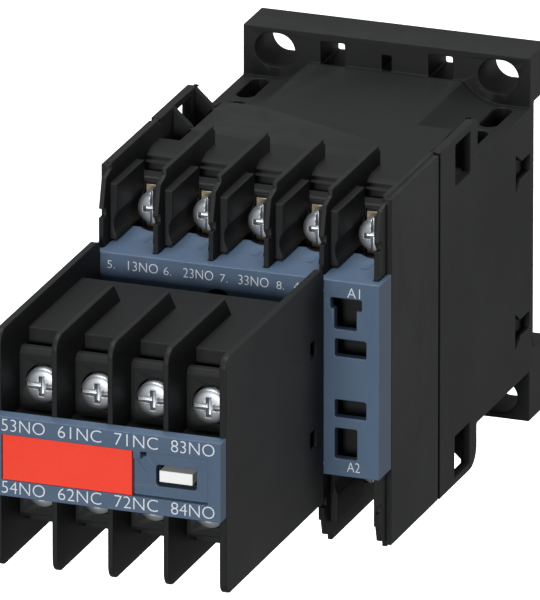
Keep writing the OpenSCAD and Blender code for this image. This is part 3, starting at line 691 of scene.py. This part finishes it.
@shared
def threaded_screw(name):
    """A tree that cuts a rolled thread on a screw blank and stores the turning radius for its finish."""
    tree, given, out = new_group(
        name, "GeometryNodeTree",
        [("Blank", "Geometry", None), ("Thread radius", "Float", 1.5 * MM),
         ("Thread pitch", "Float", 0.5 * MM), ("Thread length", "Float", 6 * MM),
         ("Thread start", "Float", 0.0), ("Finish", "Material", None)],
        [("Screw", "Geometry")])
    crest = math_node(tree, "MULTIPLY", given["Thread pitch"], CREST_SHARE)
    centre = math_node(tree, "SUBTRACT", given["Thread radius"], crest)
    turns = math_node(tree, "DIVIDE", given["Thread length"], given["Thread pitch"])
    helix = add(tree, "GeometryNodeCurveSpiral", {
        "Resolution": THREAD_STEPS, "Rotations": turns, "Start Radius": centre, "End Radius": centre,
        "Height": given["Thread length"]})
    thread = sweep(tree, helix.outputs[0], ring(tree, 4, crest), caps=True)
    thread = moved(tree, thread, upwards(tree, given["Thread start"]))
    both = add(tree, "GeometryNodeJoinGeometry")
    tree.links.new(given["Blank"], both.inputs[0])
    tree.links.new(thread, both.inputs[0])
    position = add(tree, "GeometryNodeInputPosition").outputs[0]
    place = add(tree, "ShaderNodeSeparateXYZ", {"Vector": position}).outputs
    flat = add(tree, "ShaderNodeCombineXYZ", {"X": place["X"], "Y": place["Y"]}).outputs[0]
    radius = add(tree, "ShaderNodeVectorMath", {0: flat}, operation="LENGTH").outputs["Value"]
    stored = add(tree, "GeometryNodeStoreNamedAttribute", {
        "Geometry": both.outputs[0], "Name": "turning", "Value": radius},
        data_type="FLOAT", domain="POINT")
    deliver(tree, out, stored.outputs[0], given["Finish"])
    return tree


# ---- pieces
MOULDINGS = {
    # node: (material, colour setting, roughness, share of the edge round)
    "base_housing": ("black_moulding", "black", 0.5, 1.0),
    "contact_housing": ("black_moulding", "black", 0.5, 0.8),
    "aux_housing": ("black_moulding", "black", 0.5, 0.8),
    "front_cover": ("blue_moulding", "blue", 0.42, 1.0),
    "aux_front_panel": ("blue_moulding", "blue", 0.42, 0.7),
    "marking_plate": ("red_plate", "red", 0.36, 0.4),
    "position_indicator": ("white_indicator", "white", 0.34, 0.6),
    "rail_latch": ("latch_moulding", "black", 0.36, 0.7),
    "coil_bobbin": ("bobbin_moulding", "black", 0.5, 0.5),
    "contact_carrier": ("ivory_moulding", "ivory", 0.42, 0.5),
    "aux_carrier": ("ivory_moulding", "ivory", 0.42, 0.5),
}


class RELAY_OT_mouldings(bpy.types.Operator):
    """Round the edges of the plastic mouldings and give them their finish"""

    bl_idname = "relay.mouldings"
    bl_label = "Plastic mouldings"

    BLACK_GLOSS = 0.14
    GLOSS = 0.3

    def execute(self, context):
        settings = context.scene.relay_mouldings
        for node, (name, colour, roughness, share) in MOULDINGS.items():
            gloss = self.BLACK_GLOSS if colour == "black" else self.GLOSS
            paint(node, plastic(name, getattr(settings, colour), roughness, gloss=gloss))
            round_edges(node, settings.edge_round * share)
        return {"FINISHED"}


class RELAY_OT_cores(bpy.types.Operator):
    """Stack the sheets of the fixed core and the armature, rivet them and finish the shading rings"""

    bl_idname = "relay.cores"
    bl_label = "Laminated cores"

    def execute(self, context):
        settings = context.scene.relay_metals
        steel = metal("core_sheets", settings.core, 0.34, stain=(0.2, 0.17, 0.15))
        for node in ("fixed_core", "armature"):
            low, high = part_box(node)
            count = round((high.z - low.z) / settings.sheet)
            pitch = (high.z - low.z) / count
            sheet = merged_copy(node, node + "_sheet")
            for vertex in sheet.data.vertices:
                top = vertex.co.z > (low.z + high.z) / 2
                vertex.co.z = low.z + (0.92 * pitch if top else 0.0)
            modifier_inputs(sheet, sheet_stack(), {"Sheets": count, "Pitch": pitch, "Finish": steel})
            stack = settled(sheet, node + "_stack", steel)
            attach(stack, body_of(node))
            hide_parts(node)
            rivets = mesh_object(node + "_rivets", lambda work: self.rivets(work, low, high, node))
            rivets.data.materials.append(metal("rivet_steel", settings.zinc, 0.3))
            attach(rivets, body_of(node))
        paint("shading_rings", metal("ring_copper", settings.copper, 0.3, stain=(0.35, 0.16, 0.1)))
        round_edges("shading_rings", 0.1 * MM)
        return {"FINISHED"}

    @staticmethod
    def rivets(work, low, high, node):
        """Adds domed rivet heads on both sides of a stack's yoke."""
        radius, rise = 1.1 * MM, 0.35 * MM
        yoke = (high.y if node == "fixed_core" else low.y)
        inward = -2.4 * MM if node == "fixed_core" else 2.4 * MM
        steps = [math.radians(a) for a in (90, 65, 40, 20, 0)]
        outline = [(0, rise)] + [(radius * math.cos(a), rise * math.sin(a)) for a in steps[1:]] + [(0, 0)]
        for x in (0.72 * low.x, 0.0, 0.72 * high.x):
            for z, turn in ((high.z - 0.04 * MM, 0.0), (low.z, math.pi)):
                place = Matrix.Translation((x, yoke + inward, z)) @ Matrix.Rotation(turn, 4, "X")
                bmesh.ops.transform(work, verts=lathe(work, outline, 20), matrix=place)


class RELAY_OT_winding(bpy.types.Operator):
    """Wind the coil with enamelled wire over its inner layers"""

    bl_idname = "relay.winding"
    bl_label = "Coil winding"

    CORNER = 2.8 * MM  # radius of a turn's corners
    OUTSIDE = 0.6  # what lies beyond this share of the half width is the winding's outer face

    def execute(self, context):
        settings = context.scene.relay_metals
        low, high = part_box("coil_winding")
        wire = settings.winding_wire / 2
        enamel = metal("enamelled_wire", settings.enamel, 0.24, stain=(0.3, 0.08, 0.03), coat=0.6)
        start = mesh_object("winding_start", lambda work: None)
        length = high.y - low.y - 2 * wire
        modifier_inputs(start, coil_turns(), {
            "Width": high.x - low.x - 2 * wire, "Height": high.z - low.z - 2 * wire,
            "Corner": self.CORNER, "Wire radius": wire, "Turns": int(length / (2 * wire)) + 1,
            "Length": length, "Finish": enamel})
        outer = settled(start, "outer_turns", enamel, smooth=50)
        outer.data.transform(Matrix.Translation((0, high.y - wire, 0)) @ OUTWARDS)
        # the layers below, up to the middle of the outer wires
        inner = merged_copy("coil_winding", "inner_layers")
        full = high - low
        size = Vector(((full.x - 2 * wire) / full.x, 0.998, (full.z - 2 * wire) / full.z))
        centre = middle("coil_winding")
        for vertex in inner.data.vertices:
            away = vertex.co - centre
            if abs(away.x) > self.OUTSIDE * high.x or abs(away.z) > self.OUTSIDE * high.z:
                vertex.co = centre + Vector((away.x * size.x, away.y * size.y, away.z * size.z))
        coil = joined([outer, inner], "wound_coil", enamel)
        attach(coil, body_of("coil_winding"))
        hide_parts("coil_winding")
        return {"FINISHED"}


class RELAY_OT_springs(bpy.types.Operator):
    """Wind the return, contact and latch springs"""

    bl_idname = "relay.springs"
    bl_label = "Springs"

    def execute(self, context):
        wire = context.scene.relay_metals.spring_wire
        forward = (math.radians(90), 0, 0)
        for node, name, turn, thickness, turns in (
                ("return_springs", "return_coils", forward, 1.2 * wire, 8.0),
                ("contact_springs", "contact_coils", forward, wire, 6.0),
                ("aux_contact_springs", "aux_contact_coils", forward, wire, 6.0),
                ("rail_latch_spring", "latch_coil", (0, 0, 0), 0.7 * wire, 11.0)):
            self.wind(node, name, self.islands(node), turn, thickness, turns)
        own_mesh(bpy.data.objects["return_coils"], "armature_stroke", axis=(0, 1, 0),
                  anchor=(0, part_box("return_springs")[1].y, 0),
                  keep=self.kept("return_springs", "y", "armature_stroke"))
        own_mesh(bpy.data.objects["latch_coil"], "rail_latch_pull", axis=(0, 0, 1),
                  anchor=(0, 0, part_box("rail_latch_spring")[0].z),
                  keep=self.kept("rail_latch_spring", "z", "rail_latch_pull"))
        return {"FINISHED"}

    @staticmethod
    def kept(node, axis, joint):
        """The share of a spring's length that is left at the joint's limit."""
        low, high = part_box(node)
        travel = max(abs(x) for j in frame["joints"] if j["name"] == joint for x in j["range_m"])
        length = getattr(high, axis) - getattr(low, axis)
        return (length - travel) / length

    @staticmethod
    def islands(node):
        """The box of each separate spring of a CAD node."""
        work = bmesh.new()
        work.from_mesh(NODES[node].data)
        bmesh.ops.remove_doubles(work, verts=work.verts, dist=WELD)
        boxes, left = [], set(work.verts)
        while left:
            reached = [left.pop()]
            points = []
            while reached:
                vertex = reached.pop()
                points.append(vertex.co.copy())
                for edge in vertex.link_edges:
                    other = edge.other_vert(vertex)
                    if other in left:
                        left.discard(other)
                        reached.append(other)
            boxes.append(corners(points))
        work.free()
        return sorted(boxes, key=lambda b: tuple(round(c, 5) for c in b[0]))

    @staticmethod
    def wind(node, name, boxes, turn, wire, turns):
        """Winds one spring in each box, from its rear end forward or from its lower end up."""
        lying = turn[0] != 0
        low, high = boxes[0]
        length = high.y - low.y if lying else high.z - low.z
        radius = (high.x - low.x) / 2
        seats = [Vector(((a.x + b.x) / 2, b.y if lying else (a.y + b.y) / 2,
                         (a.z + b.z) / 2 if lying else a.z)) for a, b in boxes]
        start = mesh_object(name + "_seats", lambda work: [work.verts.new(s) for s in seats])
        steel = metal("spring_wire", (0.5, 0.51, 0.53), 0.26)
        modifier_inputs(start, compression_springs(), {
            "Coil radius": radius - wire / 2, "Wire radius": wire / 2, "Length": length,
            "Turns": turns, "Turn": turn, "Finish": steel})
        piece = settled(start, name, steel, smooth=60)
        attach(piece, body_of(node))
        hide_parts(node)
        return piece


class RELAY_OT_contacts(bpy.types.Operator):
    """Finish the brass bridges and terminal strips with silver tips"""

    bl_idname = "relay.contacts"
    bl_label = "Contacts"

    TIP = 0.8 * MM  # thickness of a bridge's silver tip
    PAD = 1.0 * MM  # and of the silver pad on a fixed strip
    STRIP = 1.0 * MM  # thickness of the strip behind the pad
    REACH = 8.95 * MM  # the pads end this far above and below the middle

    def execute(self, context):
        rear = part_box("bridge_contacts")[1].y
        paint("bridge_contacts", contact_metal("relay_bridges", (rear - self.TIP, rear + MM), (-1, 1)))
        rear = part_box("fixed_contacts")[1].y
        pads = (rear - self.STRIP - self.PAD - 0.02 * MM, rear - self.STRIP)
        paint("fixed_contacts", contact_metal("relay_strips", pads, (-self.REACH, self.REACH)))
        paint("coil_terminals", contact_metal("coil_strips"))
        paint("aux_bridge_contacts", contact_metal("aux_bridges"))
        paint("aux_fixed_contacts", contact_metal("aux_strips"))
        for node in ("bridge_contacts", "fixed_contacts", "coil_terminals",
                     "aux_bridge_contacts", "aux_fixed_contacts"):
            round_edges(node, 0.08 * MM)
        return {"FINISHED"}


class RELAY_OT_terminal_screws(bpy.types.Operator):
    """Turn the terminal screws, with their slots, cross recesses and threads, and finish the clamps"""

    bl_idname = "relay.terminal_screws"
    bl_label = "Terminal screws"

    def execute(self, context):
        settings = context.scene.relay_metals
        groups = (
            (MAIN_TERMINALS, settings.main_thread, 0.6 * MM, 0.0),
            (AUX_TERMINALS, settings.aux_thread, 0.5 * MM, math.radians(90)),
        )
        plated = metal("plated_clamp", settings.zinc, 0.3)
        for terminals, thread, pitch, slot_turn in groups:
            blank = self.blank(terminals[0], thread, slot_turn)
            low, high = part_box("screw_" + terminals[0])
            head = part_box("clamp_" + terminals[0])[0].y - HEAD_CLEARANCE - low.y
            shank = high.y - low.y - head
            modifier_inputs(blank, threaded_screw(), {
                "Thread radius": thread / 2, "Thread pitch": pitch, "Thread length": shank - 1.4 * MM,
                "Thread start": -head - shank + 0.6 * MM, "Finish": turned_zinc()})
            screw = settled(blank, "screw_blank")
            for terminal in terminals:
                self.place(screw, "screw_" + terminal)
                paint("clamp_" + terminal, plated)
                round_edges("clamp_" + terminal, 0.12 * MM)
            remove(screw)
        return {"FINISHED"}

    @staticmethod
    def blank(terminal, thread, slot_turn):
        """A pan-head blank with its front at Z = 0, slotted and cross-recessed."""
        settings = bpy.context.scene.relay_metals
        low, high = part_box("screw_" + terminal)
        radius = (high.x - low.x) / 2
        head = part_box("clamp_" + terminal)[0].y - HEAD_CLEARANCE - low.y
        tip = -(high.y - low.y)
        crown = min(0.85 * MM, 0.5 * head)
        root = thread / 2 - 0.3 * MM
        steps = [math.radians(a) for a in (15, 30, 42, 52, 61, 69, 76, 83, 90)]
        outline = [(0, 0)]
        outline += [(radius * math.sin(a), crown * ((1 - math.sin(a) ** 3) ** (1 / 3) - 1)) for a in steps]
        outline += [(radius, -head + 0.12 * MM), (radius - 0.12 * MM, -head), (thread / 2, -head),
                    (thread / 2, -head - 0.5 * MM), (root, -head - 0.8 * MM), (root, tip + 0.5 * MM),
                    (root - 0.45 * MM, tip), (0, tip)]
        blank = mesh_object(
            "screw_blank_" + terminal, lambda work: lathe(work, outline, settings.screw_facets))
        half = settings.slot_width / 2
        cuts = (((-half, -radius * 1.2, -1.05 * MM), (half, radius * 1.2, MM)),
                ((-1.5 * MM, -half, -1.35 * MM), (1.5 * MM, half, MM)))
        for k, (a, b) in enumerate(cuts):
            cutter = mesh_object(f"cutter_{k}", lambda work: cuboid(work, a, b))
            cutter.data.transform(Matrix.Rotation(slot_turn, 4, "Z"))
            cut = blank.modifiers.new(f"slot {k}", "BOOLEAN")
            cut.object = cutter
            cut.operation = "DIFFERENCE"
            cut.solver = "EXACT"
        edge = blank.modifiers.new("burr", "BEVEL")
        edge.width = 0.05 * MM
        edge.segments = 2
        edge.limit_method = "ANGLE"
        edge.angle_limit = math.radians(40)
        edge.use_clamp_overlap = False
        made = settled(blank, "screw_blank_cut", smooth=35)
        remove(*[o for o in bpy.data.objects if o.name.startswith("cutter_")])
        return made

    @staticmethod
    def place(screw, node):
        """Puts a copy of the finished screw where its CAD node is."""
        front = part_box(node)[0].y
        centre = middle(node)
        mesh = screw.data.copy()
        mesh.transform(Matrix.Translation((centre.x, front, centre.z)) @ OUTWARDS)
        piece = link(bpy.data.objects.new("turned_" + node, mesh))
        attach(piece, body_of(node))
        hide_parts(node)


class RELAY_OT_terminal_marks(bpy.types.Operator):
    """Print the terminal marks on the front cover and the front panel"""

    bl_idname = "relay.terminal_marks"
    bl_label = "Terminal marks"

    RELAY_WIDE = 3.2  # width of a four-letter mark on the cover, in letter heights
    AUX_WIDE = 3.6  # and on the panel
    COIL_WIDE = 1.35  # and of a coil mark
    STROKE = -0.014  # thins the font's strokes
    SMALL = 0.8  # size of the column numbers, in letter heights
    COVER_EDGES = (0.95 * MM, 0.96 * MM)  # from the cover's lower and upper edge to its marks
    PANEL_EDGES = (0.5 * MM, 0.3 * MM)  # and on the panel
    MARK_SHIFT = 0.75 * MM  # from a screw's middle to the mark beside it
    COIL_SHIFT = 0.43 * MM
    NUMBER_SHIFT = -2.45 * MM
    PANEL_START = 2.05 * MM  # from the panel's left edge to its first mark

    def execute(self, context):
        settings = context.scene.relay_marks
        cover_low, cover_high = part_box("front_cover")
        panel_low, panel_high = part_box("aux_front_panel")
        relay, aux = [], []
        cap = settings.relay_cap
        lower = cover_low.z + self.COVER_EDGES[0]
        upper = cover_high.z - self.COVER_EDGES[1] - cap
        columns = [middle("screw_" + t).x for t in ("13", "23", "33", "43")]
        for k, x in enumerate(columns):
            for word, base in ((f"{k + 1}3NO", upper), (f"{k + 1}4NO", lower)):
                mark_x = x + self.MARK_SHIFT
                relay.append(self.word(word, mark_x, base, cover_low.y, cap, self.RELAY_WIDE * cap))
            mark_x = x + self.NUMBER_SHIFT + k * 0.02 * PITCH
            relay.append(self.word(f"{k + 5}.", mark_x, upper, cover_low.y, 0.83 * cap, self.SMALL * cap))
        coil_x = middle("screw_a1").x + self.COIL_SHIFT
        for word, base in (("A1", upper), ("A2", lower - 0.1 * MM)):
            relay.append(self.word(word, coil_x, base, cover_low.y, 1.03 * cap, self.COIL_WIDE * cap))
        cap = settings.aux_cap
        rows = ((("53NO", "61NC", "71NC", "83NO"), panel_high.z - self.PANEL_EDGES[1] - cap),
                (("54NO", "62NC", "72NC", "84NO"), panel_low.z + self.PANEL_EDGES[0]))
        for words, base in rows:
            for k, word in enumerate(words):
                x = panel_low.x + self.PANEL_START + k * 1.014 * PITCH
                aux.append(self.word(word, x, base, panel_low.y, cap, self.AUX_WIDE * cap))
        ink = plastic("mark_ink", context.scene.relay_mouldings.ink, 0.55, drift=0.03, rubbed=0.0)
        for parts, name, node in ((relay, "relay_terminal_marks", "front_cover"),
                                  (aux, "aux_terminal_marks", "aux_front_panel")):
            piece = joined(parts, name, ink)
            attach(piece, body_of(node))
        return {"FINISHED"}

    def word(self, text, x, z, y, cap, width):
        """A word as a thin raised mesh, with its lower left corner at (x, z) on the plane y."""
        curve = bpy.data.curves.new("word", "FONT")
        curve.body = text
        curve.offset = self.STROKE
        curve.resolution_u = 4
        curve.extrude = bpy.context.scene.relay_marks.ink_height / 2
        mark = settled(link(bpy.data.objects.new("word", curve)), "mark_" + text)
        low, high = corners([v.co for v in mark.data.vertices])
        scale = Matrix.Diagonal((width / (high.x - low.x), cap / (high.y - low.y), 1, 1))
        mark.data.transform(Matrix.Translation((x, y, z)) @ OUTWARDS @ scale @ Matrix.Translation(-low))
        return mark


class RELAY_OT_studio(bpy.types.Operator):
    """Set up the floor, the softboxes and the camera"""

    bl_idname = "relay.studio"
    bl_label = "Studio"

    SOFTBOXES = (
        # name, place from the middle of the object, size, power setting
        ("key_softbox", (0, 0.05, 0.85), 0.4, "key_power"),
        ("side_softbox", (0.5, 0.3, 0.02), 0.3, "side_power"),
        ("front_softbox", (0.04, -1.1, 0.16), 0.35, "front_power"),
    )

    def execute(self, context):
        settings = context.scene.relay_studio
        low, high = CAD_BOX
        centre = (low + high) / 2
        self.floor(low.z - settings.floor_drop)
        self.room(context.scene, settings.room_light, settings.wall_gloss)
        for name, place, size, power in self.SOFTBOXES:
            self.softbox(name, centre + Vector(place), size, getattr(settings, power), centre)
        self.camera(context.scene, settings, centre + Vector(settings.aim))
        context.scene.view_settings.view_transform = "Standard"
        return {"FINISHED"}

    @staticmethod
    def floor(height):
        """A wide pale floor that gives no light back to the object."""
        def build(work):
            bmesh.ops.create_grid(work, x_segments=1, y_segments=1, size=6)
            bmesh.ops.translate(work, vec=(0, 0, height), verts=work.verts)
        floor = mesh_object("floor", build)
        made, tree, surface = new_material(
            "pale_floor", Roughness=0.9, Specular_IOR_Level=0.1, Emission_Color=(1, 1, 1, 1),
            Emission_Strength=0.9)
        place = add(tree, "ShaderNodeTexCoord").outputs["Object"]
        tone = mix_colours(tree, noise(tree, place, 3.0), (0.93, 0.93, 0.93, 1), (0.95, 0.95, 0.95, 1))
        fill(tree, surface.inputs["Base Color"], tone)
        floor.data.materials.append(made)
        floor.visible_diffuse = False
        floor.visible_glossy = False

    @staticmethod
    def room(scene, strength, gloss):
        """Even light from the studio walls, which look white."""
        world = scene.world or bpy.data.worlds.new("studio")
        scene.world = world
        world.use_nodes = True
        tree = world.node_tree
        walls = next(n for n in tree.nodes if n.type == "BACKGROUND")
        walls.inputs["Color"].default_value = (0.97, 0.98, 1, 1)
        path = add(tree, "ShaderNodeLightPath").outputs
        share = math_node(tree, "MULTIPLY_ADD", path["Is Camera Ray"], 1.0 - strength, strength)
        share = math_node(tree, "MULTIPLY_ADD", path["Is Glossy Ray"], gloss - strength, share)
        fill(tree, walls.inputs["Strength"], share)

    @staticmethod
    def softbox(name, place, size, power, target):
        """A square area light aimed at a point."""
        lamp = bpy.data.lights.new(name, "AREA")
        lamp.shape = "SQUARE"
        lamp.size = size
        lamp.energy = power
        light = link(bpy.data.objects.new(name, lamp))
        light.location = place
        light.rotation_euler = (target - place).to_track_quat("-Z", "Y").to_euler()
        light.visible_camera = False

    @staticmethod
    def camera(scene, settings, target):
        """A long-lens camera at the asked angle whose picture has the asked height at the target."""
        data = bpy.data.cameras.new("camera")
        data.lens = settings.lens
        distance = settings.view_height * settings.lens / data.sensor_width
        data.clip_start = 0.1
        data.clip_end = 3 * distance
        eye = link(bpy.data.objects.new("camera", data))
        turn, rise = settings.azimuth, settings.elevation
        back = Vector((math.sin(turn) * math.cos(rise), -math.cos(turn) * math.cos(rise), math.sin(rise)))
        eye.location = target + back * distance
        eye.rotation_euler = (-back).to_track_quat("-Z", "Y").to_euler()
        scene.camera = eye


class RELAY_PT_looks(bpy.types.Panel):
    """Lists the steps that finish the relay."""

    bl_idname = "RELAY_PT_looks"
    bl_label = "Contactor relay"
    bl_space_type = "VIEW_3D"
    bl_region_type = "UI"
    bl_category = "Contactor"

    def draw(self, context):
        for name in SETTINGS:
            box = self.layout.box()
            settings = getattr(context.scene, name)
            for key in settings.__annotations__:
                box.prop(settings, key)
        for step in STEPS:
            self.layout.operator(step.bl_idname)


STEPS = (
    RELAY_OT_mouldings, RELAY_OT_cores, RELAY_OT_winding, RELAY_OT_springs, RELAY_OT_contacts,
    RELAY_OT_terminal_screws, RELAY_OT_terminal_marks, RELAY_OT_studio,
)
CLASSES = (*SETTINGS.values(), *STEPS, RELAY_PT_looks)


def register():
    for made in CLASSES:
        bpy.utils.register_class(made)
    for name, kind in SETTINGS.items():
        setattr(bpy.types.Scene, name, PointerProperty(type=kind))


def unregister():
    for name in SETTINGS:
        delattr(bpy.types.Scene, name)
    for made in reversed(CLASSES):
        bpy.utils.unregister_class(made)


def main():
    """Registers the add-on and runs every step."""
    register()
    for step in STEPS:
        area, name = step.bl_idname.split(".")
        getattr(getattr(bpy.ops, area), name)()


if __name__ == "__main__":
    main()
